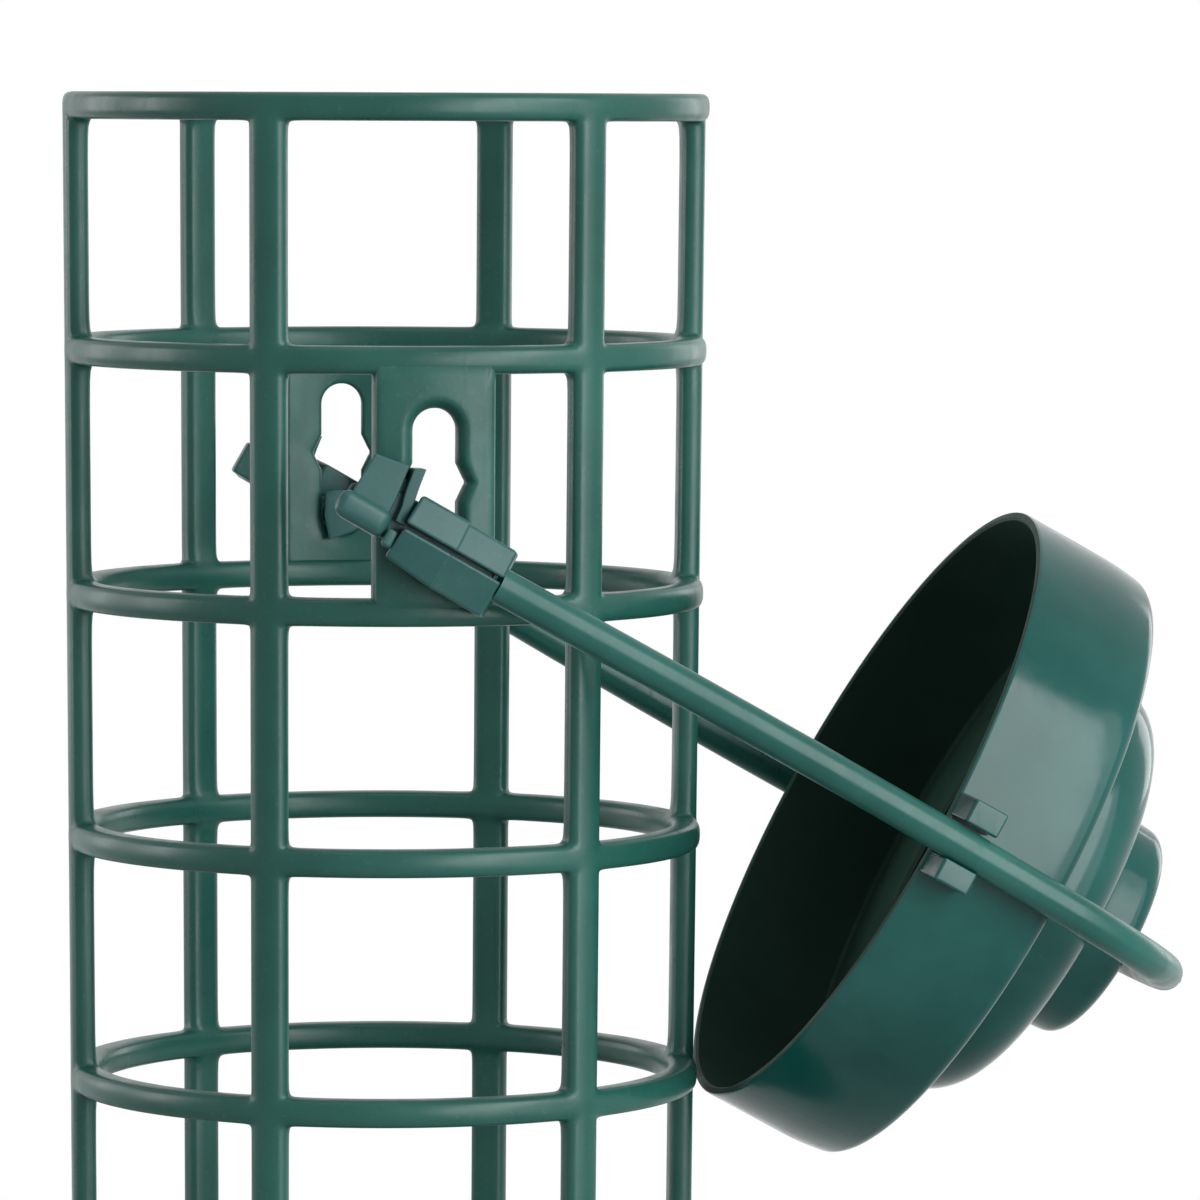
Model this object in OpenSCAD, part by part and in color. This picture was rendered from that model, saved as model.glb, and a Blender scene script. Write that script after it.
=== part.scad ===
// Fat ball feeder: a round plastic cage with a hollow lid that rides on a folding bail handle.
// Millimetres, +Z up. Origin on the cage axis at the underside of the floor.
// The front keyhole plate faces -Y. The handle is folded down to the +X side, lid slid out along it.

/* [Cage] */
// outer radius of the cage at the top rim
cage_r = 43.5; // [36:0.5:60]
// distance from one hoop to the next
hoop_pitch = 32.7; // [26:0.1:45]
// height of a hoop
hoop_h = 3.6; // [3:0.1:6]
// radial thickness of a hoop
hoop_t = 4.1; // [3.6:0.1:7]
// corner rounding of the hoop section
hoop_round = 1.5; // [0.4:0.1:1.6]
// width of an upright bar
bar_w = 4.5; // [3:0.1:7]
// radial thickness of an upright bar
bar_t = 3.1; // [2:0.1:3.4]
// how far a bar stands proud of the hoops outside
bar_proud = 0.2; // [0:0.05:0.5]
// edge rounding of the bars
bar_round = 0.7; // [0.2:0.1:1]
// inward lean of the cage side, in degrees, narrower at the foot
draft = 0.46; // [0:0.02:1]

/* [Floor] */
// thickness of the floor
floor_t = 2.4; // [1.6:0.1:3.4]
// width of a drain slot
drain_w = 6; // [3:0.5:9]
// distance from the middle to the inner end of a drain slot
drain_in = 10; // [8:0.5:14]
// length of a drain slot
drain_l = 17; // [10:1:20]

/* [Keyhole plates] */
// width of a keyhole plate
plate_w = 16; // [14:0.5:20]
// thickness of a keyhole plate
plate_t = 3; // [2:0.1:3.6]
// height of the pivot above the hoop below the plate
pivot_up = 8.2; // [7.5:0.1:9]
// free height of the pegs in the slot
slot_travel = 15.5; // [11:0.1:16]
// diameter of a pivot peg
peg_d = 5; // [4:0.1:5.6]
// clearance of a peg in its slot, each side
peg_gap = 0.35; // [0.3:0.05:0.6]
// how far the entry notch reaches beyond the slot, each side
ear_out = 1.2; // [0.8:0.1:2]
// height of the entry notch above the pivot
ear_up = 8.7; // [5:0.1:10]

/* [Handle] */
// fold of the handle below the horizontal, in degrees
fold = 29.8; // [27:0.1:31]
// diameter of the handle rod
rod_d = 4.7; // [3.6:0.1:6]
// bend radius of the two corners
corner_r = 20; // [16:0.5:22]
// bend radius of the bowed crown
crown_r = 80; // [70:1:90]
// length of the leg tail behind the pivot
tail_len = 15.6; // [14.5:0.1:20]

/* [Lid] */
// clearance between the top rim and the skirt when closed
skirt_gap = 0.4; // [0.3:0.05:1]
// wall thickness of the lid
lid_t = 1.2; // [1:0.1:2]
// clearance between the skirt and the handle rods
guide_gap = 0.45; // [0.4:0.05:1]
// clearance between the lid rim and the side bar in the folded pose
rest_gap = 0.85; // [0.5:0.05:3]
// free slide of the lid along the folded handle
lid_travel = 2; // [1:0.1:4]
// height of the skirt up to the shoulder
skirt_h = 19.2; // [16:0.1:22]
// radius of the raised dome
dome_r = 31.4; // [26:0.1:34]
// height of the raised dome
dome_h = 11.3; // [9:0.1:14]
// radius of the knob
knob_r = 15.7; // [12:0.1:18]
// height of the knob
knob_h = 9.2; // [5:0.1:11]
// length of a guide lug
lug_l = 6.2; // [4:0.1:10]
// width of a guide lug
lug_w = 3; // [2:0.1:5]

/* [Hidden] */
$fn = 64;
green = [0.13, 0.32, 0.28];
green_lid = [0.12, 0.36, 0.32];
green_rod = [0.2, 0.42, 0.37];

hoop_gaps = 6;
z_foot = hoop_h / 2;
z_top = z_foot + hoop_gaps * hoop_pitch;
z_plate_low = z_top - 2 * hoop_pitch;
z_plate_high = z_top - hoop_pitch;
pivot_z = z_plate_low + pivot_up;
function cage_rad(z) = cage_r - (z_top - z) * tan(draft);
function hoop_z(i) = z_top - i * hoop_pitch;

// each bar is let into the outside of the hoops
bar_mid = bar_t / 2 - bar_proud;
bar_len = (z_top - z_foot) / cos(draft);

peg_r = peg_d / 2;
slot_r = peg_r + peg_gap;
rod_r = rod_d / 2;
lid_r = cage_r + skirt_gap + lid_t;
leg_y = lid_r + guide_gap + rod_r;

// roundings of the lid
shoulder_r = 1.9;
dome_round = 7.5;
knob_round = 2.6;

// leg ends and key heads, measured outward from the cage axis
plate_out = cage_rad(pivot_z + slot_travel);
plate_in = cage_rad(pivot_z) - plate_t;
leg_gap = 0.7;
head_gap = 0.55;
leg_in = cage_r + leg_gap;
head_out = plate_in - head_gap;
head_t = 1.6;
seat_gap = 0.05;
// the plates and the floor run a little way round the hoops
plate_lap = 1;
floor_lap = 0.8;

module round_rect(w, h, r) {
    square([w - 2 * r, h], center = true);
    square([w, h - 2 * r], center = true);
    for (sx = [-1, 1]) {
        for (sy = [-1, 1]) {
            translate([sx * (w / 2 - r), sy * (h / 2 - r)]) circle(r);
        }
    }
}

// upright bar
module bar_solid(i) {
    rotate([0, 0, 60 * i])
        translate([cage_rad(z_foot) - bar_mid, 0, z_foot])
            rotate([0, draft, 0])
                linear_extrude(height = bar_len) round_rect(bar_t, bar_w, bar_round);
}

module all_bars() {
    for (i = [0:5]) {
        bar_solid(i);
    }
}

module hoop_solid(i) {
    translate([0, 0, hoop_z(i)])
        rotate_extrude()
            translate([cage_rad(hoop_z(i)) - hoop_t / 2, 0]) round_rect(hoop_t, hoop_h, hoop_round);
}

module hoop(i) {
    color(green)
        difference() {
            hoop_solid(i);
            all_bars();
        }
}

module top_rim() { hoop(0); }
module hoop_2() { hoop(1); }
module hoop_3() { hoop(2); }
module hoop_4() { hoop(3); }
module hoop_5() { hoop(4); }
module hoop_6() { hoop(5); }
module bottom_hoop() { hoop(6); }

module bar_1() { color(green) bar_solid(0); }
module bar_2() { color(green) bar_solid(1); }
module bar_3() { color(green) bar_solid(2); }
module bar_4() { color(green) bar_solid(3); }
module bar_5() { color(green) bar_solid(4); }
module bar_6() { color(green) bar_solid(5); }

// floor with drain slots, let into the bottom hoop
module floor_grate() {
    color(green)
        difference() {
            cylinder(h = floor_t, r = cage_rad(z_foot) - hoop_t + floor_lap, $fn = 96);
            hoop_solid(6);
            for (i = [0:5]) {
                rotate([0, 0, 60 * i + 30])
                    translate([drain_in + drain_w / 2, 0, -1]) drain_slot();
            }
        }
}

module drain_slot() {
    cylinder(h = floor_t + 2, r = drain_w / 2);
    translate([0, -drain_w / 2, 0]) cube([drain_l - drain_w, drain_w, floor_t + 2]);
    translate([drain_l - drain_w, 0, 0]) cylinder(h = floor_t + 2, r = drain_w / 2);
}

// keyhole outline: long slot with a pointed entry notch on both sides
module keyhole_2d() {
    circle(slot_r);
    translate([-slot_r, 0]) square([2 * slot_r, slot_travel]);
    translate([0, slot_travel]) circle(slot_r);
    polygon([
        [-slot_r, ear_up + 2.2], [-slot_r - ear_out, ear_up + 0.4],
        [-slot_r - ear_out, ear_up - 0.4], [-slot_r, ear_up - 2.2],
        [slot_r, ear_up - 2.2], [slot_r + ear_out, ear_up - 0.4],
        [slot_r + ear_out, ear_up + 0.4], [slot_r, ear_up + 2.2]
    ]);
}

// side = -1 front, 1 rear
module plate_solid(side) {
    color(green)
        difference() {
            intersection() {
                translate([0, 0, z_plate_low])
                    cylinder(h = hoop_pitch, r1 = cage_rad(z_plate_low), r2 = cage_rad(z_plate_high), $fn = 96);
                translate([-plate_w / 2, side * cage_r - cage_r / 2, z_plate_low + plate_lap])
                    cube([plate_w, cage_r, hoop_pitch - 2 * plate_lap]);
            }
            translate([0, 0, z_plate_low - 1])
                cylinder(
                    h = hoop_pitch + 2,
                    r1 = cage_rad(z_plate_low - 1) - plate_t,
                    r2 = cage_rad(z_plate_high + 1) - plate_t,
                    $fn = 96
                );
            hoop_solid(1);
            hoop_solid(2);
            translate([0, side * cage_r, pivot_z])
                rotate([90, 0, 0])
                    translate([0, 0, -15]) linear_extrude(height = 30) keyhole_2d();
        }
}

module front_pivot_plate() { plate_solid(-1); }
module rear_pivot_plate() { plate_solid(1); }

// round peg through the keyhole, between leg end and key head
module peg_solid(side) {
    color(green_rod)
        translate([0, side * (head_out + seat_gap), pivot_z])
            rotate([-90 * side, 0, 0]) cylinder(h = leg_in - head_out - 2 * seat_gap, r = peg_r);
}

module front_pivot_peg() { peg_solid(-1); }
module rear_pivot_peg() { peg_solid(1); }

// handle frame: X along the legs, Z square to them
module in_handle() {
    translate([0, 0, pivot_z]) rotate([0, fold, 0]) children();
}

// the lid rests off the lowest bar it reaches, and the bend starts beyond its skirt and knob
rim_drop = lid_r * sin(fold);
rim_at = (cage_rad(hoop_z(4)) + bar_proud + rest_gap + rim_drop) / cos(fold);
corner_y = leg_y - corner_r;
crown_half = asin(corner_y / (crown_r - corner_r));
crown_run = (crown_r - corner_r) * cos(crown_half);
knob_top = rim_at + skirt_h + dome_h + knob_h + lid_travel + guide_gap;
crown_low = sqrt(pow(crown_r - rod_r, 2) - pow(knob_r - knob_round, 2));
skirt_end = rim_at + skirt_h - shoulder_r + lid_travel;
leg_len = max(skirt_end, knob_top - crown_low + crown_run);
crown_c = leg_len - crown_run;
rod_from = 6;
bend_lap = 0.2;
bend_skin = 0.03;

module bend(r_bend, r_tube, from, sweep) {
    rotate([0, 0, from])
        rotate_extrude(angle = sweep) translate([r_bend, 0]) circle(r_tube, $fn = 48);
}

// round rod: two straight legs, two corner bends and a bowed crown
// the corner bends are a hair thicker, so legs and crown end inside them
module handle_bail() {
    color(green_rod)
        in_handle() {
            for (side = [-1, 1]) {
                translate([rod_from, side * leg_y, 0])
                    rotate([0, 90, 0]) cylinder(h = leg_len - rod_from + bend_lap, r = rod_r, $fn = 48);
            }
            translate([leg_len, corner_y, 0])
                bend(corner_r, rod_r + bend_skin, crown_half, 90 - crown_half);
            translate([leg_len, -corner_y, 0])
                bend(corner_r, rod_r + bend_skin, -90, 90 - crown_half);
            translate([crown_c, 0, 0])
                bend(crown_r, rod_r, -crown_half - bend_lap, 2 * (crown_half + bend_lap));
        }
}

// two stepped wings about the pivot, a tail, a square stop and a pointed fin
wing_w = 5;
wing_front = 8.3;
wing_step = 2.1;
wing_back = 5.6;
wing_out = leg_y + 0.9 - leg_in;
wing_thin = leg_y + 0.2 - leg_in;
tail_r = 1.5;
tail_out = leg_y + 1.6 - leg_in;
stop_l = 5.5;
stop_h = 7.4;
stop_in = 0.6;
fin_l = 1.6;
fin_h = 7.9;
slit_w = 0.5;
slit_deep = 1.2;
module leg_end_solid(side) {
    color(green_rod)
        in_handle()
            scale([1, side, 1])
                difference() {
                    union() {
                        translate([-wing_back, leg_in, -wing_w])
                            cube([wing_back + wing_step, wing_out, 2 * wing_w]);
                        translate([wing_step, leg_in, -wing_w])
                            cube([wing_front - wing_step, wing_thin, 2 * wing_w]);
                        translate([tail_r - tail_len, leg_in, -tail_r])
                            cube([tail_len - tail_r - wing_back, tail_out, 2 * tail_r]);
                        translate([tail_r - tail_len, leg_in + tail_out, 0])
                            rotate([90, 0, 0]) cylinder(h = tail_out, r = tail_r);
                        translate([tail_r - tail_len, leg_in + stop_in, 0])
                            cube([stop_l, tail_out - 2 * stop_in, stop_h]);
                        translate([tail_r - tail_len + stop_l, leg_in + tail_out - stop_in, 0])
                            rotate([90, 0, 0])
                                linear_extrude(height = tail_out - 2 * stop_in)
                                    polygon([[0, 0], [fin_l, 0], [fin_l, fin_h], [0, fin_h - 1.1]]);
                    }
                    translate([-wing_back - 1, leg_in + wing_out - slit_deep, slit_w / 2])
                        cube([wing_front + wing_back + 2, slit_deep + 2, slit_w]);
                    translate([rod_from, leg_y, 0])
                        rotate([0, 90, 0]) cylinder(h = leg_len, r = rod_r, $fn = 48);
                }
}

module front_leg_end() { leg_end_solid(-1); }
module rear_leg_end() { leg_end_solid(1); }

// pointed head on the inner end of each peg, passes the entry notch with the handle upright
module key_head_solid(side) {
    color(green_rod)
        in_handle()
            translate([0, side * head_out, 0])
                rotate([90 * side, 0, 0])
                    linear_extrude(height = head_t)
                        polygon([[0, -3.8], [2.2, -1.6], [2.2, 1.6], [0, 3.8], [-2.2, 1.6], [-2.2, -1.6]]);
}

module front_key_head() { key_head_solid(-1); }
module rear_key_head() { key_head_solid(1); }

// lid frame: origin at the rim plane, Z along the lid axis away from the pivot
module in_lid() {
    in_handle() translate([rim_at, 0, 0]) rotate([0, 90, 0]) children();
}

module lid_outline(inset) {
    square([lid_r - inset, skirt_h - shoulder_r]);
    square([lid_r - shoulder_r, skirt_h - inset]);
    translate([lid_r - shoulder_r, skirt_h - shoulder_r]) circle(shoulder_r - inset);
    square([dome_r - inset, skirt_h + dome_h - dome_round]);
    square([dome_r - dome_round, skirt_h + dome_h - inset]);
    translate([dome_r - dome_round, skirt_h + dome_h - dome_round]) circle(dome_round - inset);
}

module lid_cap() {
    color(green_lid)
        in_lid()
            rotate_extrude($fn = 128)
                difference() {
                    lid_outline(0);
                    lid_outline(lid_t);
                    square([knob_r - lid_t - 0.8, skirt_h + dome_h + 1]);
                }
}

module lid_knob() {
    color(green_lid)
        in_lid()
            translate([0, 0, skirt_h + dome_h])
                difference() {
                    rotate_extrude() {
                        square([knob_r, knob_h - knob_round]);
                        square([knob_r - knob_round, knob_h]);
                        translate([knob_r - knob_round, knob_h - knob_round]) circle(knob_round);
                    }
                    translate([0, 0, -1]) cylinder(h = knob_h + 1 - lid_t, r = knob_r - lid_t - 0.8);
                }
}

// two lugs astride the rod
module lug_pair(side) {
    color(green_lid)
        in_lid()
            difference() {
                for (n = [-1, 1]) {
                    translate([n * (rod_r + 0.4 + lug_w / 2), side * (lid_r + 1.7), lug_l / 2])
                        cube([lug_w, 5, lug_l], center = true);
                }
                translate([0, 0, -1]) cylinder(h = lug_l + 2, r = lid_r, $fn = 128);
            }
}

module front_guide_lugs() { lug_pair(-1); }
module rear_guide_lugs() { lug_pair(1); }

top_rim();
hoop_2();
hoop_3();
hoop_4();
hoop_5();
hoop_6();
bottom_hoop();
bar_1();
bar_2();
bar_3();
bar_4();
bar_5();
bar_6();
front_pivot_plate();
rear_pivot_plate();
floor_grate();
front_pivot_peg();
rear_pivot_peg();
handle_bail();
front_leg_end();
rear_leg_end();
front_key_head();
rear_key_head();
lid_cap();
lid_knob();
front_guide_lugs();
rear_guide_lugs();
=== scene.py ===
import math

import bmesh
import bpy
from mathutils import Matrix, Vector


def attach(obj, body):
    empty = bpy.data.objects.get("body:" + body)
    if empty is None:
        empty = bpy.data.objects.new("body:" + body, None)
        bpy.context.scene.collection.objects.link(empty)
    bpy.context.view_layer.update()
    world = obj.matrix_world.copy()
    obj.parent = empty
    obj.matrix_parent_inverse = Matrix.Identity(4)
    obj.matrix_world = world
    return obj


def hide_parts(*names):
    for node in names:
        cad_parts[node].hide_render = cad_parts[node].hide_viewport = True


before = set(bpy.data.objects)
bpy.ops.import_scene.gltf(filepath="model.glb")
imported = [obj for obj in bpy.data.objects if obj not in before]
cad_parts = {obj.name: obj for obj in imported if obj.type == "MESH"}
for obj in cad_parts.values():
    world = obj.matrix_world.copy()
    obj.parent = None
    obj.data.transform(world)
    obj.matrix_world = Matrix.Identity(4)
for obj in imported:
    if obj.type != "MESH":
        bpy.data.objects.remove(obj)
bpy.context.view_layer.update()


# Camera
# A long lens almost level with the top rim, a little to the left of square to
# the front keyhole plate, so the foot of the cage runs out of the picture.
turn = math.radians(-8.76)
yaw, pitch, roll = [math.radians(angle) for angle in (1.6895, 3.9056, 0.2501)]
camera_back, camera_height = 0.98407, 0.19873
focal_pixels, picture_pixels = 7298.1, 1200
film_width = 36
ahead = Vector((
    math.sin(yaw) * math.cos(pitch), math.cos(yaw) * math.cos(pitch), -math.sin(pitch)))
level = Vector((math.cos(yaw), -math.sin(yaw), 0))
upright = level.cross(ahead)
right = math.cos(roll) * level + math.sin(roll) * upright
above = math.cos(roll) * upright - math.sin(roll) * level
spin = Matrix.Rotation(turn, 3, 'Z')
right, above, ahead = spin @ right, spin @ above, spin @ ahead
stand = spin @ Vector((0, -camera_back, camera_height))
lens = bpy.data.cameras.new("photo_view")
lens.sensor_width = film_width
lens.lens = focal_pixels / picture_pixels * film_width
lens.clip_end = 20
camera = bpy.data.objects.new("photo_view", lens)
camera.matrix_world = Matrix((
    (right.x, above.x, -ahead.x, stand.x),
    (right.y, above.y, -ahead.y, stand.y),
    (right.z, above.z, -ahead.z, stand.z),
    (0, 0, 0, 1)))
bpy.context.collection.objects.link(camera)
bpy.context.scene.camera = camera
bpy.context.scene.view_settings.view_transform = 'Standard'


# Studio
# White surroundings, a dim even fill, a long leaning softbox and a wide one to the
# right of the camera, smaller ones at the left, behind and above, and a pale floor.
fill_light = 0.18
feeder_middle, cage_middle, cage_low = (0.06, 0, 0.12), (0, 0, 0.12), (0, 0, 0.1)
floor_reach, floor_solid, floor_fade = 0.30, 0.10, 0.02
floor_under = 0.0004
floor_sides = 96


def put(tree, kind, inputs=None, **settings):
    """A new node with its settings; an input takes a value or a socket to link from."""
    made = tree.nodes.new(kind)
    for key, value in settings.items():
        setattr(made, key, value)
    for key, value in (inputs or {}).items():
        if isinstance(value, bpy.types.NodeSocket):
            tree.links.new(value, made.inputs[key])
        else:
            made.inputs[key].default_value = value
    return made


def calc(tree, kind, a, b):
    return put(tree, 'ShaderNodeMath', {0: a, 1: b}, operation=kind).outputs[0]


def ramp(tree, value, low, high, to_low=0, to_high=1, **settings):
    """A value brought from one range to another and held at both ends."""
    return put(tree, 'ShaderNodeMapRange', {
        'Value': value, 'From Min': low, 'From Max': high, 'To Min': to_low, 'To Max': to_high,
    }, **settings).outputs['Result']


room = bpy.data.worlds.new("white_room")
bpy.context.scene.world = room
room.use_nodes = True
wires = room.node_tree
wires.nodes.clear()
path = put(wires, 'ShaderNodeLightPath').outputs
seen = calc(wires, 'MAXIMUM', path['Is Camera Ray'], path['Is Glossy Ray'])
seen = calc(wires, 'MAXIMUM', seen, path['Is Transmission Ray'])
dim = put(wires, 'ShaderNodeBackground', {'Color': (0.97, 0.99, 1, 1), 'Strength': fill_light})
white = put(wires, 'ShaderNodeBackground', {'Color': (1, 1, 1, 1), 'Strength': 1})
either = put(wires, 'ShaderNodeMixShader', {0: seen, 1: dim.outputs[0], 2: white.outputs[0]})
put(wires, 'ShaderNodeOutputWorld', {'Surface': either.outputs[0]})


def softbox(name, place, aim, width, height, watts, lean=0):
    lamp = bpy.data.lights.new(name, 'AREA')
    lamp.shape = 'RECTANGLE'
    lamp.size, lamp.size_y = width, height
    lamp.energy = watts
    hung = bpy.data.objects.new(name, lamp)
    aimed = (Vector(aim) - Vector(place)).to_track_quat('-Z', 'Y').to_matrix().to_4x4()
    leant = Matrix.Rotation(math.radians(lean), 4, 'Z')
    hung.matrix_world = Matrix.Translation(place) @ aimed @ leant
    bpy.context.collection.objects.link(hung)


softbox("front_softbox", (0.535, -0.785, 0.395), feeder_middle, 0.42, 1.15, 9.0, -34)
softbox("wide_softbox", (0.60, -0.74, 0.36), feeder_middle, 0.95, 1.10, 8.0, -12)
softbox("left_softbox", (-0.97, 0.15, 0.30), cage_middle, 0.35, 0.6, 4.4)
softbox("rear_left_softbox", (-0.85, 0.7, 0.3), cage_middle, 0.4, 0.6, 2.2)
softbox("rear_right_softbox", (0.95, 0.75, 0.3), cage_middle, 0.4, 0.6, 1.6)
softbox("top_softbox", (-0.08, -0.1, 1.15), cage_low, 0.5, 0.5, 1.2)

pale = bpy.data.materials.new("pale_floor")
pale.use_nodes = True
wires = pale.node_tree
wires.nodes.clear()
spot = put(wires, 'ShaderNodeTexCoord').outputs['Object']
far = put(wires, 'ShaderNodeVectorMath', {0: spot}, operation='LENGTH').outputs['Value']
fade = ramp(wires, far, floor_solid, floor_reach - floor_fade, interpolation_type='SMOOTHSTEP')
chalk = put(wires, 'ShaderNodeBsdfDiffuse', {'Color': (0.86, 0.87, 0.87, 1)})
clear = put(wires, 'ShaderNodeBsdfTransparent')
either = put(wires, 'ShaderNodeMixShader', {0: fade, 1: chalk.outputs[0], 2: clear.outputs[0]})
put(wires, 'ShaderNodeOutputMaterial', {'Surface': either.outputs[0]})
bearings = [math.tau * i / floor_sides for i in range(floor_sides)]
ground_rim = [(floor_reach * math.cos(a), floor_reach * math.sin(a), -floor_under)
              for a in bearings]
ground_mesh = bpy.data.meshes.new("studio_floor")
ground_mesh.from_pydata(ground_rim, [], [list(range(floor_sides))])
ground_mesh.materials.append(pale)
ground = bpy.data.objects.new("studio_floor", ground_mesh)
bpy.context.collection.objects.link(ground)


# Cage lattice
# Seven hoops and six upright bars, moulded in one shot in dark green plastic.
# The bars run through the outside of the hoops and every crossing has a fillet.
mm = 0.001
cage_r = 43.5
draft = math.tan(math.radians(0.46))
hoop_pitch = 32.7
hoop_half = 1.8
hoop_deep = 4.1
z_top = 198.0
bars_round = 6
hoop_steps = 6
half_arc = math.pi * cage_r / bars_round
half_pitch = hoop_pitch / 2
bar_flat, hoop_flat = 1.6, 1.1
bar_proud, bar_edge_proud = 0.2, 0.12
bar_deep, bar_deep_near = 3.05, 3.3
bar_narrows = 0.92
hoop_edge = 0.05
near_hoop, bar_leaves = 2.1, 2.5
bar_side = ((2.55, 0.52), (2.60, 1.60), (2.50, 2.68))
bar_side_near = ((2.58, 0.60), (2.62, 1.65), (2.54, 2.85))
fillet = ((2.72, 0.60, 2.06), (2.76, 1.75, 2.04), (2.70, 3.15, 2.02))
hoop_side = ((0.55, 1.86), (2.05, 1.84), (3.55, 1.86))
cell_columns = (0, bar_flat, 3.1, 6.4, 9.7, 13.0, 16.2, 19.5, half_arc)
cell_rows = (0, hoop_flat, 2.0, 3.3, 9.8, half_pitch)
flat_join, wrapped_join = 0.01, 0.00002


def cage_rad(z):
    return cage_r - (z_top - z) * draft


def noise(tree, place, scale, detail, rough=0.5):
    return put(tree, 'ShaderNodeTexNoise', {
        'Vector': place, 'Scale': scale, 'Detail': detail, 'Roughness': rough}).outputs['Fac']


def blend(tree, factor, a, b):
    """One colour turning into another."""
    return put(tree, 'ShaderNodeMix', {'Factor': factor, 'A': a, 'B': b},
               data_type='RGBA').outputs['Result']


def moulded(name, colour, tint, gloss, shine, grain, wear):
    """Moulded plastic: cloudy colour, fine grain, uneven gloss and paler worn edges."""
    cloud_scale, flow_scale, grain_scale, scratch_scale = 34, 210, 1500, (900, 900, 40)
    wave_high, grain_high = 0.0012, 0.0001
    stuff = bpy.data.materials.new(name)
    stuff.use_nodes = True
    wires = stuff.node_tree
    wires.nodes.clear()
    place = put(wires, 'ShaderNodeTexCoord').outputs['Object']
    cloud = noise(wires, place, cloud_scale, 4, 0.6)
    flow = noise(wires, place, flow_scale, 3, 0.55)
    speck = noise(wires, place, grain_scale, 2, 0.6)
    drawn_out = put(wires, 'ShaderNodeMapping', {
        'Vector': place, 'Scale': scratch_scale, 'Rotation': (0.5, 0.3, 0)}).outputs[0]
    scratch = noise(wires, drawn_out, 1, 2)
    dark = [c * 0.82 for c in colour]
    light = [min(1, c * 1.16 + t * 0.05) for c, t in zip(colour, tint)]
    body = blend(wires, ramp(wires, cloud, 0.3, 0.7), (*dark, 1), (*light, 1))
    dusty = blend(wires, ramp(wires, speck, 0.62, 0.8, 0, grain), body, (*tint, 1))
    bend = put(wires, 'ShaderNodeNewGeometry').outputs['Pointiness']
    rubbed = calc(wires, 'MULTIPLY', ramp(wires, bend, 0.53, 0.64, 0, wear), flow)
    coat = blend(wires, rubbed, dusty, (*tint, 1))
    matt = ramp(wires, flow, 0.3, 0.7, gloss - 0.05, gloss + 0.07)
    rough = calc(wires, 'ADD', matt, ramp(wires, scratch, 0.6, 0.75, 0, 0.09))
    wavy = put(wires, 'ShaderNodeBump', {
        'Strength': gloss * 0.3, 'Distance': wave_high, 'Height': cloud}).outputs[0]
    skin = put(wires, 'ShaderNodeBump', {
        'Strength': grain, 'Distance': grain_high, 'Height': speck, 'Normal': wavy}).outputs[0]
    shell = put(wires, 'ShaderNodeBsdfPrincipled', {
        'Base Color': coat, 'Roughness': rough, 'Normal': skin, 'Specular IOR Level': shine})
    put(wires, 'ShaderNodeOutputMaterial', {'Surface': shell.outputs[0]})
    return stuff


def crossing(name, arms):
    """One crossing of a bar and a hoop laid flat: along the hoop, into the wall, up."""
    columns = sorted({s * c for c in cell_columns for s in (-1, 1)})
    rows = sorted({s * r for r in cell_rows for s in (-1, 1)})
    inmost = len(hoop_side) + 1

    def has_bar(z):
        return (1 if z > 0 else -1) in arms

    def outer(x, z):
        if abs(x) > bar_flat:
            return (x, hoop_edge if z else 0, z)
        proud = bar_proud if x == 0 else bar_edge_proud
        if abs(z) <= hoop_flat and not (has_bar(z) and has_bar(-z)):
            proud *= 0.5 if z == 0 else (1 if has_bar(z) else -0.4)
        return (x, -proud, z)

    def inner(x, z):
        if abs(z) <= hoop_flat:
            return (x, hoop_deep - (hoop_edge if z else 0), z)
        return (x * bar_narrows, bar_deep_near if abs(z) < near_hoop else bar_deep, z)

    def wall(x, z, ring):
        sx, sz = math.copysign(1, x), math.copysign(1, z)
        if abs(z) > hoop_flat:
            near = abs(z) < near_hoop
            wide, deep = (bar_side_near if near else bar_side)[ring]
            return (sx * wide, deep, sz * bar_leaves if near else z)
        if abs(x) <= bar_flat and x and has_bar(z):
            wide, deep, high = fillet[ring]
            return (sx * wide, deep, sz * high)
        deep, high = hoop_side[ring]
        return (x, deep, sz * high)

    quads = []
    for x0, x1 in zip(columns, columns[1:]):
        for z0, z1 in zip(rows, rows[1:]):
            mid = (z0 + z1) / 2
            if abs(mid) < hoop_flat or (abs(x0 + x1) / 2 < bar_flat and has_bar(mid)):
                quads.append(((x0, z0), (x1, z0), (x1, z1), (x0, z1)))
    points, number = [], {}

    def at(spot, layer):
        key = (spot, layer)
        if key not in number:
            number[key] = len(points)
            if layer == 0:
                points.append(outer(*spot))
            elif layer == inmost:
                points.append(inner(*spot))
            else:
                points.append(wall(*spot, layer - 1))
        return number[key]

    faces = [[at(p, 0) for p in quad] for quad in quads]
    faces += [[at(p, inmost) for p in reversed(quad)] for quad in quads]
    ways = {(quad[i], quad[(i + 1) % 4]) for quad in quads for i in range(4)}
    for a, b in sorted(ways):
        at_end = abs(a[0]) == abs(b[0]) == half_arc or abs(a[1]) == abs(b[1]) == half_pitch
        if (b, a) not in ways and not at_end:
            faces += [[at(b, k), at(a, k), at(a, k + 1), at(b, k + 1)] for k in range(inmost)]
    mesh = bpy.data.meshes.new(name)
    mesh.from_pydata(points, [], faces)
    return bpy.data.objects.new(name, mesh)


def settle(piece):
    """Keeps the evaluated result of the modifiers as the piece's own mesh."""
    bpy.context.view_layer.update()
    graph = bpy.context.evaluated_depsgraph_get()
    mesh = bpy.data.meshes.new_from_object(
        piece.evaluated_get(graph), preserve_all_data_layers=True, depsgraph=graph)
    piece.modifiers.clear()
    piece.data = mesh
    mesh.name = piece.name
    return piece


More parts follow.
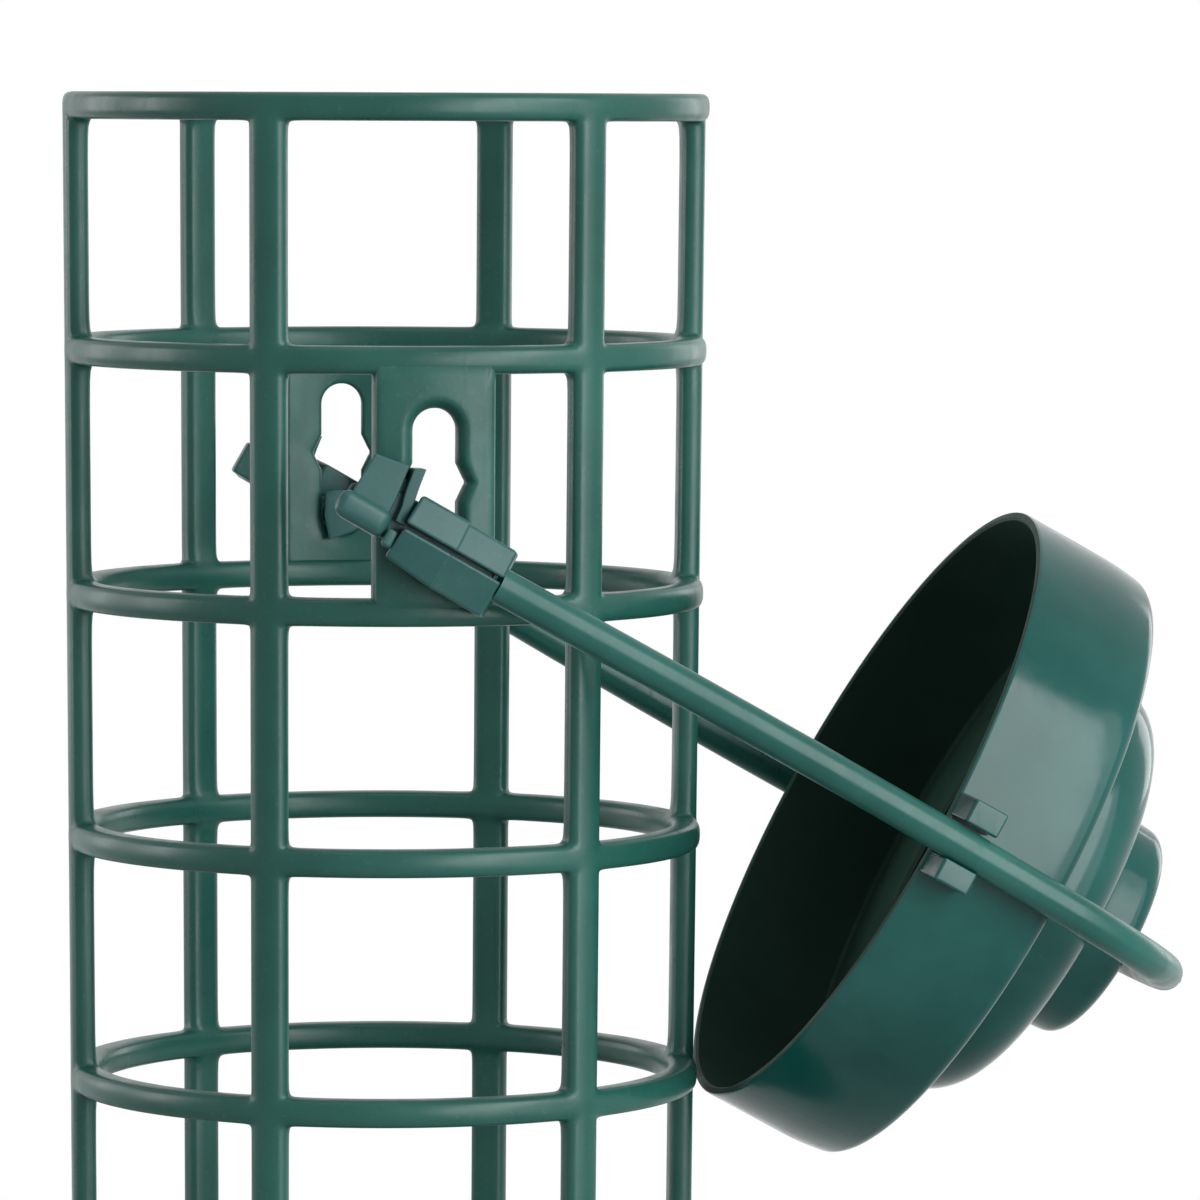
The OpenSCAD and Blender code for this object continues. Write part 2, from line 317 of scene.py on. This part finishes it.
def grown(name, tree, values):
    """An object whose mesh comes from a node tree, with the inputs set by name."""
    piece = bpy.data.objects.new(name, bpy.data.meshes.new(name))
    bpy.context.collection.objects.link(piece)
    maker = piece.modifiers.new("maker", 'NODES')
    maker.node_group = tree
    for item in tree.interface.items_tree:
        if item.in_out == 'INPUT' and item.name in values:
            maker[item.identifier] = values[item.name]
    return settle(piece)


def sockets(tree, wanted):
    for name, kind in wanted:
        tree.interface.new_socket(name=name, in_out='INPUT', socket_type='NodeSocket' + kind)
    tree.interface.new_socket(name="Geometry", in_out='OUTPUT', socket_type='NodeSocketGeometry')
    return tree.nodes.new('NodeGroupInput').outputs


cage_green = moulded(
    "cage_green", (0.007, 0.062, 0.048), (0.14, 0.26, 0.23), 0.31, 0.25, 0.12, 0.30)
weave = bpy.data.node_groups.new("cage_weave", 'GeometryNodeTree')
given = sockets(weave, (
    ("Top cell", 'Object'), ("Middle cell", 'Object'), ("Foot cell", 'Object'),
    ("Pitch", 'Float'), ("Arc", 'Float'), ("Hoop steps", 'Int'), ("Bars", 'Int'),
    ("Radius", 'Float'), ("Draft", 'Float'), ("Top", 'Float'), ("Plastic", 'Material')))
cells = [put(weave, 'GeometryNodeObjectInfo', {'Object': given[name]}).outputs['Geometry']
         for name in ("Top cell", "Middle cell", "Foot cell")]
down = calc(weave, 'MULTIPLY', given["Pitch"], -1)
step_down = put(weave, 'ShaderNodeCombineXYZ', {'Z': down}).outputs[0]
between = calc(weave, 'SUBTRACT', given["Hoop steps"], 1)
stack = put(weave, 'GeometryNodeMeshLine', {
    'Count': between, 'Start Location': step_down, 'Offset': step_down})
middle = put(weave, 'GeometryNodeInstanceOnPoints', {
    'Points': stack.outputs[0], 'Instance': cells[1]})
drop = put(weave, 'ShaderNodeCombineXYZ', {
    'Z': calc(weave, 'MULTIPLY', down, given["Hoop steps"])})
foot = put(weave, 'GeometryNodeTransform', {
    'Geometry': cells[2], 'Translation': drop.outputs[0]})
column = put(weave, 'GeometryNodeJoinGeometry')
for part in (cells[0], middle.outputs[0], foot.outputs[0]):
    weave.links.new(part, column.inputs[0])
one = put(weave, 'GeometryNodeGeometryToInstance', {0: column.outputs[0]})
step_round = put(weave, 'ShaderNodeCombineXYZ', {'X': given["Arc"]}).outputs[0]
ring = put(weave, 'GeometryNodeMeshLine', {'Count': given["Bars"], 'Offset': step_round})
sheet = put(weave, 'GeometryNodeInstanceOnPoints', {
    'Points': ring.outputs[0], 'Instance': one.outputs[0]})
sheet = put(weave, 'GeometryNodeRealizeInstances', {0: sheet.outputs[0]})
sheet = put(weave, 'GeometryNodeMergeByDistance', {0: sheet.outputs[0], 'Distance': flat_join})
sheet = put(weave, 'GeometryNodeSubdivisionSurface', {0: sheet.outputs[0], 'Level': 1})
position = put(weave, 'GeometryNodeInputPosition').outputs[0]
flat = put(weave, 'ShaderNodeSeparateXYZ', {0: position}).outputs
angle = calc(weave, 'DIVIDE', flat[0], given["Radius"])
reach = calc(weave, 'SUBTRACT', given["Radius"], flat[1])
reach = calc(weave, 'ADD', reach, calc(weave, 'MULTIPLY', flat[2], given["Draft"]))
reach = calc(weave, 'MULTIPLY', reach, mm)
height = calc(weave, 'MULTIPLY', calc(weave, 'ADD', given["Top"], flat[2]), mm)
wrapped = put(weave, 'ShaderNodeCombineXYZ', {
    'X': calc(weave, 'MULTIPLY', reach, calc(weave, 'COSINE', angle, 0.0)),
    'Y': calc(weave, 'MULTIPLY', reach, calc(weave, 'SINE', angle, 0.0)),
    'Z': height})
sheet = put(weave, 'GeometryNodeSetPosition', {
    0: sheet.outputs[0], 'Position': wrapped.outputs[0]})
sheet = put(weave, 'GeometryNodeMergeByDistance', {
    0: sheet.outputs[0], 'Distance': wrapped_join})
sheet = put(weave, 'GeometryNodeSetShadeSmooth', {0: sheet.outputs[0]})
sheet = put(weave, 'GeometryNodeRealizeInstances', {0: sheet.outputs[0]})
sheet = put(weave, 'GeometryNodeSetMaterial', {
    0: sheet.outputs[0], 'Material': given["Plastic"]})
put(weave, 'NodeGroupOutput', {0: sheet.outputs[0]})

top_cell = crossing("top_cell", (-1,))
middle_cell = crossing("middle_cell", (-1, 1))
foot_cell = crossing("foot_cell", (1,))
lattice = grown("cage_lattice", weave, {
    "Top cell": top_cell, "Middle cell": middle_cell, "Foot cell": foot_cell,
    "Pitch": hoop_pitch, "Arc": 2 * half_arc, "Hoop steps": hoop_steps, "Bars": bars_round,
    "Radius": cage_r, "Draft": draft, "Top": z_top, "Plastic": cage_green})
for cell in (top_cell, middle_cell, foot_cell):
    bpy.data.objects.remove(cell)
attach(lattice, "cage")
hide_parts("top_rim", "hoop_2", "hoop_3", "hoop_4", "hoop_5", "hoop_6", "bottom_hoop",
            "bar_1", "bar_2", "bar_3", "bar_4", "bar_5", "bar_6")


# Keyhole plates
# A curved plate between the second and third hoop, front and rear, part of the
# same moulding. Each has a keyhole: a long slot with a pointed notch on both sides.
pivot_z = 140.8
plate_half, plate_deep = 8.0, 3.0
plate_sunk, hoop_dip, hoop_clear = 0.035, 0.05, 1.9
slot_half, slot_rise = 2.85, 15.5
notch_z, notch_half = 8.7, 4.05
notch_long, notch_slant = 2.5, 0.23
blunt_in, blunt_half = 0.25, 0.55
point_in, point_half = 0.04, 0.2
slot_turn, slot_steps = 84, 12
low_steps, high_steps, foot_steps = 16, 14, 8
edge_gap = 0.6
hoop_low = z_top - 2 * hoop_pitch - pivot_z
hoop_high = hoop_low + hoop_pitch
chamfer = ((0, 1.7), (0.12, 1.2), (0.45, 0.72), (0.95, 0.26), (1.25, 0.07), (1.6, 0))
back_bevel = ((0.5, 0), (0.14, 0.14), (0, 0.5))
side_bevel = ((0, 1.0), (0.1, 0.5), (0.35, 0.16), (0.8, 0))
front_shares, back_shares = (0.1, 0.22, 0.35, 0.48, 0.6), (0.8, 0.6, 0.4, 0.2)


def arc(centre, radius, start, end, count):
    spread = [math.radians(start + (end - start) * i / count) for i in range(count + 1)]
    return [(centre[0] + radius * math.cos(a), centre[1] + radius * math.sin(a)) for a in spread]


def on_way(start, end, share):
    return tuple(p + (q - p) * share for p, q in zip(start, end))


def points_along(start, end, count):
    return [(start[0] + (end[0] - start[0]) * i / count, start[1] + (end[1] - start[1]) * i / count)
            for i in range(count)]


def keyhole(grow):
    """Outline of the keyhole, larger by a distance; always the same count of points."""
    half, tip, reach_z = slot_half + grow, notch_half + grow, notch_long + notch_slant * grow
    notch_from, notch_to = (half, notch_z - reach_z), (half, notch_z + reach_z)
    under_tip = (tip - blunt_in, notch_z - blunt_half)
    over_tip = (tip - blunt_in, notch_z + blunt_half)
    line = arc((0, 0), half, -slot_turn, 0, slot_steps)[:-1]
    line += points_along((half, 0), notch_from, 7)
    line += points_along(notch_from, under_tip, 4) + [under_tip]
    line += [(tip - point_in, notch_z - point_half), (tip - point_in, notch_z + point_half)]
    line += points_along(over_tip, notch_to, 4)
    line += points_along(notch_to, (half, slot_rise), 5)
    line += arc((0, slot_rise), half, 0, slot_turn, slot_steps)
    return line + [(-x, z) for x, z in reversed(line)]


def sunk(z):
    """How far the face lies behind the cage's outside; it dips under the front of each hoop."""
    return plate_sunk + hoop_dip * max(0, 1 - min(z - hoop_low, hoop_high - z) / hoop_clear)


def part_way(share):
    """A loop part of the way from the keyhole's chamfer to the edge of the plate."""
    return [on_way(p, q, share) for p, q in zip(rim_line, edge_line)]


def drawn_in(away):
    """The edge of the plate drawn in sideways."""
    return [(x * (1 - away / plate_half), z) for x, z in edge_line]


def woven(rows, around, closed):
    """Quads of a grid whose rows run round; a closed grid also joins its last row to its first."""
    faces = []
    for i in range(rows if closed else rows - 1):
        low, high = i * around, (i + 1) % rows * around
        for j in range(around):
            n = (j + 1) % around
            faces.append([low + j, low + n, high + n, high + j])
    return faces


def new_piece(name, points, faces, material, smooth=True):
    mesh = bpy.data.meshes.new(name)
    mesh.from_pydata(points, [], faces)
    mesh.materials.append(material)
    work = bmesh.new()
    work.from_mesh(mesh)
    bmesh.ops.remove_doubles(work, verts=work.verts, dist=1e-7)
    bmesh.ops.recalc_face_normals(work, faces=work.faces)
    for face in work.faces:
        face.smooth = smooth
    work.to_mesh(mesh)
    work.free()
    piece = bpy.data.objects.new(name, mesh)
    bpy.context.collection.objects.link(piece)
    return piece


plate_green = moulded(
    "plate_green", (0.010, 0.068, 0.054), (0.18, 0.29, 0.26), 0.33, 0.22, 0.16, 0.30)
rim_line = keyhole(chamfer[-1][0])
foot_run = [plate_half * (k + 0.5) / (foot_steps + 0.5) for k in range(foot_steps)]
right_edge = [(x, hoop_low) for x in foot_run] + [(plate_half, hoop_low)]
right_edge += points_along(
    (plate_half, hoop_low + hoop_clear), (plate_half, notch_z), low_steps)
right_edge += points_along(
    (plate_half, notch_z + edge_gap), (plate_half, hoop_high - hoop_clear), high_steps)
right_edge += [(plate_half, hoop_high)] + [(x, hoop_high) for x in reversed(foot_run)]
edge_line = right_edge + [(-x, z) for x, z in reversed(right_edge)]
rings = [[(x, z, deep + sunk(z)) for x, z in keyhole(grow)] for grow, deep in chamfer]
rings += [[(x, z, sunk(z)) for x, z in part_way(share)] for share in front_shares]
rings += [[(x, z, deep + sunk(z)) for x, z in drawn_in(away)]
          for away, deep in reversed(side_bevel)]
rings += [[(x, z, plate_deep - less) for x, z in drawn_in(away)]
          for away, less in reversed(back_bevel)]
rings += [[(x, z, plate_deep) for x, z in part_way(share)] for share in back_shares]
rings += [[(x, z, plate_deep - less) for x, z in keyhole(grow)] for grow, less in back_bevel]
plate_faces = woven(len(rings), len(rim_line), True)
for name, facing in (("front_pivot_plate", -1), ("rear_pivot_plate", 1)):
    plate_points = []
    for row in rings:
        for x, z, deep in row:
            out = math.sqrt((cage_rad(pivot_z + z) - deep) ** 2 - x * x)
            plate_points.append((-facing * x * mm, facing * out * mm, (pivot_z + z) * mm))
    plate = new_piece(name + "_moulded", plate_points, plate_faces, plate_green)
    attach(plate, "cage")
    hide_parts(name)


# Floor
# A flat disc with six drain slots that closes the foot of the cage, moulded
# with the bottom hoop, with softened edges on both faces.
floor_deep, floor_edge, floor_lap = 2.4, 0.45, 0.8
floor_r = cage_rad(hoop_half) - hoop_deep + floor_lap
disc_sides = 144
drain_half, drain_in, drain_out = 3.0, 13.0, 24.0
drain_count, drain_turn, drain_steps = 6, 30, 14
drawn = bpy.data.curves.new("floor_outline", 'CURVE')
drawn.dimensions = '2D'
drawn.fill_mode = 'BOTH'
drawn.extrude = (floor_deep / 2 - floor_edge) * mm
drawn.bevel_depth = floor_edge * mm
drawn.bevel_resolution = 2
drawn.offset = -floor_edge * mm


def add_loop(curve, loop):
    line = curve.splines.new('POLY')
    line.points.add(len(loop) - 1)
    line.use_cyclic_u = True
    for spot, (x, y) in zip(line.points, loop):
        spot.co = (x * mm, y * mm, 0, 1)


add_loop(drawn, arc((0, 0), floor_r, 0, 360 - 360 / disc_sides, disc_sides - 1))
slot = arc((drain_out, 0), drain_half, -90, 90, drain_steps)
slot += arc((drain_in, 0), drain_half, 90, 270, drain_steps)
for k in range(drain_count):
    swing = math.radians(360 / drain_count * k + drain_turn)
    cos, sin = math.cos(swing), math.sin(swing)
    add_loop(drawn, [(x * cos - y * sin, x * sin + y * cos) for x, y in slot])
grate = bpy.data.objects.new("floor_drawing", drawn)
bpy.context.collection.objects.link(grate)
bpy.context.view_layer.update()
graph = bpy.context.evaluated_depsgraph_get()
floor_mesh = bpy.data.meshes.new_from_object(grate.evaluated_get(graph))
bpy.data.objects.remove(grate)
floor_mesh.transform(Matrix.Translation((0, 0, floor_deep / 2 * mm)))
floor_green = moulded(
    "floor_green", (0.012, 0.068, 0.052), (0.15, 0.25, 0.22), 0.42, 0.16, 0.2, 0.35)
floor_points = [v.co[:] for v in floor_mesh.vertices]
floor_faces = [list(f.vertices) for f in floor_mesh.polygons]
grate = new_piece("floor_grate_moulded", floor_points, floor_faces, floor_green, smooth=False)
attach(grate, "cage")
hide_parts("floor_grate")


# Pivot pegs
# The round stub at each end of the handle that runs in the keyhole slot.
# Same moulding as the handle, with a small chamfer at both ends.
peg_r, peg_edge = 2.5, 0.25
peg_from, peg_to = 39.54, 44.15
peg_sides, peg_crease = 40, 30


def turned(profile, steps, place):
    """A closed profile of radius and height turned round an axis; zero radius makes a pole."""
    bearings = [math.tau * k / steps for k in range(steps)]
    points, faces, rows = [], [], []
    for r, h in profile:
        if r == 0:
            rows.append([len(points)] * steps)
            points.append(place @ Vector((0, 0, h * mm)))
        else:
            rows.append(list(range(len(points), len(points) + steps)))
            points += [place @ Vector((r * math.cos(a) * mm, r * math.sin(a) * mm, h * mm))
                       for a in bearings]
    for low, high in zip(rows, rows[1:]):
        for k in range(steps):
            n = (k + 1) % steps
            quad = []
            for corner in (low[k], low[n], high[n], high[k]):
                if corner not in quad:
                    quad.append(corner)
            faces.append(quad)
    return points, faces


def creased(piece, degrees):
    """Smooth shading that keeps edges sharper than an angle."""
    for face in piece.data.polygons:
        face.use_smooth = True
    piece.data.set_sharp_from_angle(angle=math.radians(degrees))
    return piece


handle_green = moulded(
    "handle_green", (0.009, 0.080, 0.065), (0.20, 0.32, 0.29), 0.30, 0.22, 0.10, 0.20)
peg_profile = [(0, peg_from), (peg_r - peg_edge, peg_from), (peg_r, peg_from + peg_edge),
               (peg_r, peg_to - peg_edge), (peg_r - peg_edge, peg_to), (0, peg_to)]
for name, facing in (("front_pivot_peg", -1), ("rear_pivot_peg", 1)):
    lie = Matrix.Translation((0, 0, pivot_z * mm))
    lie = lie @ Matrix.Rotation(math.radians(-90 * facing), 4, 'X')
    peg = new_piece(name + "_moulded", *turned(peg_profile, peg_sides, lie), handle_green)
    peg = creased(peg, peg_crease)
    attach(peg, "pivot_pegs")
    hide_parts(name)


# Handle bail
# A round moulded rod: two straight legs, two corner bends and a bowed crown, with a
# fine mould seam. The lid sits a little askew, which bows one leg up and one down.
fold = math.radians(29.8)
rod_r, rod_sides = 2.4, 36
seam = 0.09
rod_from = 8.36
leg_y, leg_len, leg_steps = 47.9, 95.2576, 16
corner_r, corner_y, corner_steps = 20.0, 27.9, 14
crown_r, crown_half, crown_steps = 80.0, 27.7102, 26
crown_c = leg_len - (crown_r - corner_r) * math.cos(math.radians(crown_half))
bow, bow_end = 0.6, 112
in_handle = Matrix.Translation((0, 0, pivot_z * mm)) @ Matrix.Rotation(fold, 4, 'Y')
near_side = points_along((rod_from, -leg_y), (leg_len, -leg_y), leg_steps)
near_side += arc((leg_len, -corner_y), corner_r, -90, -crown_half, corner_steps)[:-1]
crown = arc((crown_c, 0), crown_r, -crown_half, crown_half, crown_steps)
route = near_side + crown + [(s, -y) for s, y in reversed(near_side)]
route_points = []
for s, y in route:
    lift = -bow * y / leg_y * math.sin(math.pi * min(1, (s - rod_from) / (bow_end - rod_from)))
    route_points.append(in_handle @ Vector((s * mm, y * mm, lift * mm)))
route_mesh = bpy.data.meshes.new("bail_route")
route_mesh.from_pydata(route_points, [(i, i + 1) for i in range(len(route) - 1)], [])
route_line = bpy.data.objects.new("bail_route", route_mesh)
section = []
for k in range(rod_sides):
    a = math.tau * k / rod_sides
    swell = rod_r + (seam if k in (0, rod_sides // 2) else 0)
    section.append((swell * math.cos(a) * mm, swell * math.sin(a) * mm, 0))
section_mesh = bpy.data.meshes.new("rod_section")
section_mesh.from_pydata(section, [(k, (k + 1) % rod_sides) for k in range(rod_sides)], [])
section_line = bpy.data.objects.new("rod_section", section_mesh)

rod = bpy.data.node_groups.new("bail_rod", 'GeometryNodeTree')
given = sockets(rod, (("Route", 'Object'), ("Section", 'Object'), ("Plastic", 'Material')))
lines = []
for name in ("Route", "Section"):
    drawn = put(rod, 'GeometryNodeObjectInfo', {'Object': given[name]}).outputs['Geometry']
    lines.append(put(rod, 'GeometryNodeMeshToCurve', {0: drawn}).outputs[0])
level_line = put(rod, 'GeometryNodeSetCurveNormal', {0: lines[0]}, mode='MINIMUM_TWIST')
tube = put(rod, 'GeometryNodeCurveToMesh', {
    0: level_line.outputs[0], 1: lines[1], 'Fill Caps': True})
tube = put(rod, 'GeometryNodeSetShadeSmooth', {0: tube.outputs[0]})
tube = put(rod, 'GeometryNodeRealizeInstances', {0: tube.outputs[0]})
tube = put(rod, 'GeometryNodeSetMaterial', {0: tube.outputs[0], 'Material': given["Plastic"]})
put(rod, 'NodeGroupOutput', {0: tube.outputs[0]})
bail = grown("handle_bail_rod", rod, {
    "Route": route_line, "Section": section_line, "Plastic": handle_green})
for used in (route_line, section_line):
    bpy.data.objects.remove(used)
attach(bail, "handle")
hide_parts("handle_bail")


# Leg ends
# The moulded clasp at the end of each leg: two stepped wings either side of a
# slit, a rounded tail, a square stop and a pointed fin, all outside the plate.
leg_in, leg_out = 44.2, leg_y + 2
under_slope = 0.2
wing_fall = 0.05
slit_low, slit_middle, slit_high = 0.35, 0.65, 0.95
bevel_steps = 3
clasp_crease = 40


def evened(piece):
    """Shading that follows the large faces, so that small rounded edges read as edges."""
    creased(piece, clasp_crease)
    even = piece.modifiers.new("even", 'WEIGHTED_NORMAL')
    even.weight = 100
    even.keep_sharp = True
    return settle(piece)


def soft_prisms(name, prisms, place, material, mirror):
    """Prisms with rounded edges: an outline, a start, an end, an edge radius, a way to lie."""
    shape = bmesh.new()
    points, faces = [], []
    for outline, low, high, edge, lay in prisms:
        shape.clear()
        ends = [[shape.verts.new(lay(p, q, r)) for p, q in outline] for r in (low, high)]
        for end in ends:
            shape.faces.new(end)
        for k in range(len(outline)):
            n = (k + 1) % len(outline)
            shape.faces.new((ends[0][k], ends[0][n], ends[1][n], ends[1][k]))
        bmesh.ops.recalc_face_normals(shape, faces=shape.faces)
        bmesh.ops.bevel(shape, geom=shape.edges[:], offset=edge, segments=bevel_steps,
                        profile=0.5, affect='EDGES')
        shape.verts.index_update()
        faces += [[len(points) + v.index for v in f.verts] for f in shape.faces]
        points += [place @ Vector((v.co.x * mm, v.co.y * mirror * mm, v.co.z * mm))
                   for v in shape.verts]
    shape.free()
    return evened(new_piece(name, points, faces, material))


def wing_way(s, n, y):
    """The outer face falls away on both sides of the slit; the end by the tail slopes under."""
    fallen = leg_in + (y - leg_in) * (1 - wing_fall * abs(n - slit_middle))
    return s + under_slope * (leg_out - y), fallen, n


def tail_way(s, n, y):
    """The end slopes under."""
    return s + under_slope * (leg_out - y), y, n


def straight_way(s, n, y):
    return s, y, n


def box_line(low, high):
    return [low, (high[0], low[1]), high, (low[0], high[1])]


# The clasps and key heads take a bluer green than the rest of the handle moulding: a painted bluish
# reflection of the light on their flat faces.
clasp_green = moulded(
    "clasp_green", (0.011, 0.064, 0.060), (0.20, 0.32, 0.30), 0.34, 0.24, 0.14, 0.15)
low_wing = [(-6.4, -4.1), (1.1, -4.8), (1.1, slit_low), (-6.2, slit_low)]
high_wing = [(-6.4, slit_high), (1.4, slit_high), (1.4, 5.2), (-6.0, 5.2)]
stop_line = [(-14.5, 0), (-8.9, 0), (-9.0, 2.8), (-9.6, 7.6), (-14.3, 6.8)]
horn_line = [(-8.7, 7.5), (-8.4, 5.6), (-8.1, 4.0), (-7.7, 2.6), (-7.5, 0.5),
             (-6.1, 0.5), (-6.3, 3.0), (-6.7, 5.0), (-6.95, 6.4), (-7.2, 8.3)]
clasp_prisms = [
    (low_wing, leg_in, leg_y + 3.0, 0.5, wing_way),
    (box_line((0, -4.75), (8.4, slit_low)), leg_in + 0.1, leg_y + 2.5, 0.45, wing_way),
    (high_wing, leg_in, leg_y + 3.0, 0.5, wing_way),
    (box_line((0, slit_high), (8.4, 4.9)), leg_in + 0.1, leg_y + 2.6, 0.45, wing_way),
    (box_line((-9.0, -2.2), (7.6, 4.2)), leg_in + 0.2, leg_y - 0.6, 0.3, straight_way),
    (box_line((-15.6, -2.5), (-8.2, 1.25)), leg_in + 0.4, leg_y + 2.1, 1.3, tail_way),
    (box_line((-8.0, -3.0), (-6.5, -0.6)), leg_in + 0.5, leg_y + 1.9, 0.4, tail_way),
    (stop_line, leg_in + 0.3, leg_y + 0.9, 0.25, tail_way),
    (box_line((-10.5, 0.6), (-7.6, 6.0)), leg_in + 0.45, leg_y - 0.9, 0.3, straight_way),
    (horn_line, leg_in + 0.35, leg_y + 0.8, 0.2, straight_way)]
tail_low, tail_high = leg_in + 0.05, leg_in + 2.4
front_tail = (box_line((-15.2, -1.9), (-9.2, 2.3)), tail_low, tail_high, 0.6, tail_way)
rear_tail = (box_line((-15.9, -2.3), (-9.2, 2.4)), tail_low, tail_high, 0.4, straight_way)
for name, facing, tail in (("front_leg_end", -1, front_tail), ("rear_leg_end", 1, rear_tail)):
    clasp = soft_prisms(name + "_clasp", clasp_prisms + [tail], in_handle, clasp_green, facing)
    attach(clasp, "handle")
    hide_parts(name)


# Key heads
# The flat pointed head on the inner end of each peg, moulded with it. It goes
# in through the notch with the handle upright and then holds the handle in.
head_from, head_to = 37.89, 39.49
head_edge, head_taper = 0.3, 0.85
head_shape = [(0, -4.0), (2.3, -1.4), (3.8, 1.4), (2.9, 2.2),
              (0, 3.9), (-2.8, 2.3), (-3.7, 1.5), (-2.2, -1.5)]
layers = [(head_taper, head_from), (1, head_from + head_edge),
          (1, head_to - head_edge), (head_taper, head_to)]
count = len(head_shape)
head_faces = woven(len(layers), count, False)
head_faces += [list(range(count)), list(range((len(layers) - 1) * count, len(layers) * count))]
# The key heads share the clasp's bluer green, a painted bluish reflection.
for name, facing in (("front_key_head", -1), ("rear_key_head", 1)):
    head_points = [in_handle @ Vector((s * k * mm, facing * y * mm, n * k * mm))
                   for k, y in layers for s, n in head_shape]
    head = evened(new_piece(name + "_blade", head_points, head_faces, clasp_green))
    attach(head, "handle")
    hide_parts(name)


# Lid
# A hollow turned-looking moulding: straight skirt, rounded shoulder, low dome
# and a flat-topped knob, one wall all through. It slides along the two rods.
lid_r, lid_wall, lid_sides, lid_crease = 45.2, 1.2, 160, 40
rim_at = 75.9576
lid_tip, lid_roll = math.radians(-0.8), math.radians(-0.7)
lid_along, lid_up = 0.2, 0.4
skirt_h, shoulder = 19.2, 1.9
dome_r, dome_top, dome_round = 31.4, 30.5, 7.5
knob_r, knob_top, knob_round = 15.7, 39.7, 2.6
cove_size = 0.7
in_lid = in_handle @ Matrix.Translation(((rim_at + lid_along) * mm, 0, lid_up * mm))
in_lid = in_lid @ Matrix.Rotation(math.radians(90) + lid_tip, 4, 'Y')
in_lid = in_lid @ Matrix.Rotation(lid_roll, 4, 'Z')


def cove(r, h, size):
    """A small concave fillet where a wall rises from a flat."""
    bends = [math.radians(t) for t in (0, 22, 45, 67, 90)]
    return [(r + size * (1 - math.sin(a)), h + size * (1 - math.cos(a))) for a in bends]


outer_profile = [
    (lid_r - 0.35, 0), (lid_r - 0.1, 0.1), (lid_r, 0.35), (lid_r, 0.6), (lid_r, 6),
    (lid_r, 12), (lid_r - 0.03, 13.5), (lid_r - 0.12, 15), (lid_r - 0.3, 16.5)]
outer_profile += arc((lid_r - 0.4 - shoulder, skirt_h - shoulder), shoulder, 8, 90, 8)
outer_profile += [(38, skirt_h)] + cove(dome_r, skirt_h, cove_size)
outer_profile += arc((dome_r - dome_round, dome_top - dome_round), dome_round, 0, 90, 14)
outer_profile += [(20, dome_top)] + cove(knob_r + 0.5, dome_top, cove_size) + [(knob_r + 0.2, 34)]
outer_profile += arc((knob_r - knob_round, knob_top - knob_round), knob_round, 0, 90, 8)
outer_profile += [(8, knob_top + 0.05), (0, knob_top + 0.05)]
hollow_r = knob_r - lid_wall - 0.8
hollow_top, dome_in, skirt_in = knob_top - lid_wall, dome_top - lid_wall, skirt_h - lid_wall
inner_profile = [
    (0, hollow_top), (hollow_r - 1.2, hollow_top), (hollow_r - 0.3, hollow_top - 0.4),
    (hollow_r, hollow_top - 1.2), (hollow_r, dome_in + 0.5), (hollow_r + 0.4, dome_in)]
inner_profile += arc(
    (dome_r - dome_round, dome_top - dome_round), dome_round - lid_wall, 90, 0, 12)
inner_profile += [(dome_r - lid_wall, skirt_in + 0.5), (dome_r - lid_wall + 0.5, skirt_in)]
inner_profile += arc((lid_r - shoulder, skirt_h - shoulder), shoulder - lid_wall, 90, 0, 5)
inner_profile += [(lid_r - lid_wall, 10), (lid_r - lid_wall, 0.3), (lid_r - lid_wall + 0.3, 0)]
lid_green = moulded(
    "lid_green", (0.001, 0.053, 0.046), (0.18, 0.33, 0.30), 0.13, 0.22, 0.03, 0.30)
# The inside of the lid and the flat edge of its rim get a darker, duller, matt copy of the lid
# green: painted shade for the hollow, which the lamps leave in shadow.
lid_inside = moulded(
    "lid_inside", (0.016, 0.042, 0.031), (0.05, 0.09, 0.07), 0.55, 0.10, 0.1, 0.2)
lid_profile = outer_profile + inner_profile + outer_profile[:1]
lid = new_piece("lid_cap_and_knob", *turned(lid_profile, lid_sides, in_lid), lid_green)
lid = creased(lid, lid_crease)
lid.data.materials.append(lid_inside)
# Faces that look into the hollow, and the rim's flat edge, take the darker copy: painted shade.
back_to_lid = in_lid.inverted()
for face in lid.data.polygons:
    centre, facing = back_to_lid @ face.center, back_to_lid.to_3x3() @ face.normal
    side = facing.x * centre.x + facing.y * centre.y
    if facing.z < -0.6 or (centre.z > 0.0005 and side < -1e-5 * centre.length):
        face.material_index = 1
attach(lid, "lid")
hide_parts("lid_cap", "lid_knob")


# Guide lugs
# Two blocks on each side of the skirt, flush with the rim, that stand astride
# the rod and keep the lid on the handle. Part of the lid moulding.
lug_long, lug_edge, lead_in = 6.3, 0.35, 1.4
lug_root, lug_top = lid_r - 0.8, lid_r + 4.2
lug_spans = ((-5.85, -2.45), (2.85, 6.05))
lug_line = [(0.1, lug_root), (0.3, lid_r + 0.1), (lead_in, lug_top),
            (lug_long, lug_top), (lug_long, lug_root)]


def lug_way(z, y, x):
    return x, y, z


lug_pair = [(lug_line, low, high, lug_edge, lug_way) for low, high in lug_spans]
for name, facing in (("front_guide_lugs", -1), ("rear_guide_lugs", 1)):
    lugs = soft_prisms(name + "_moulded", lug_pair, in_lid, lid_green, facing)
    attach(lugs, "lid")
    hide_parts(name)
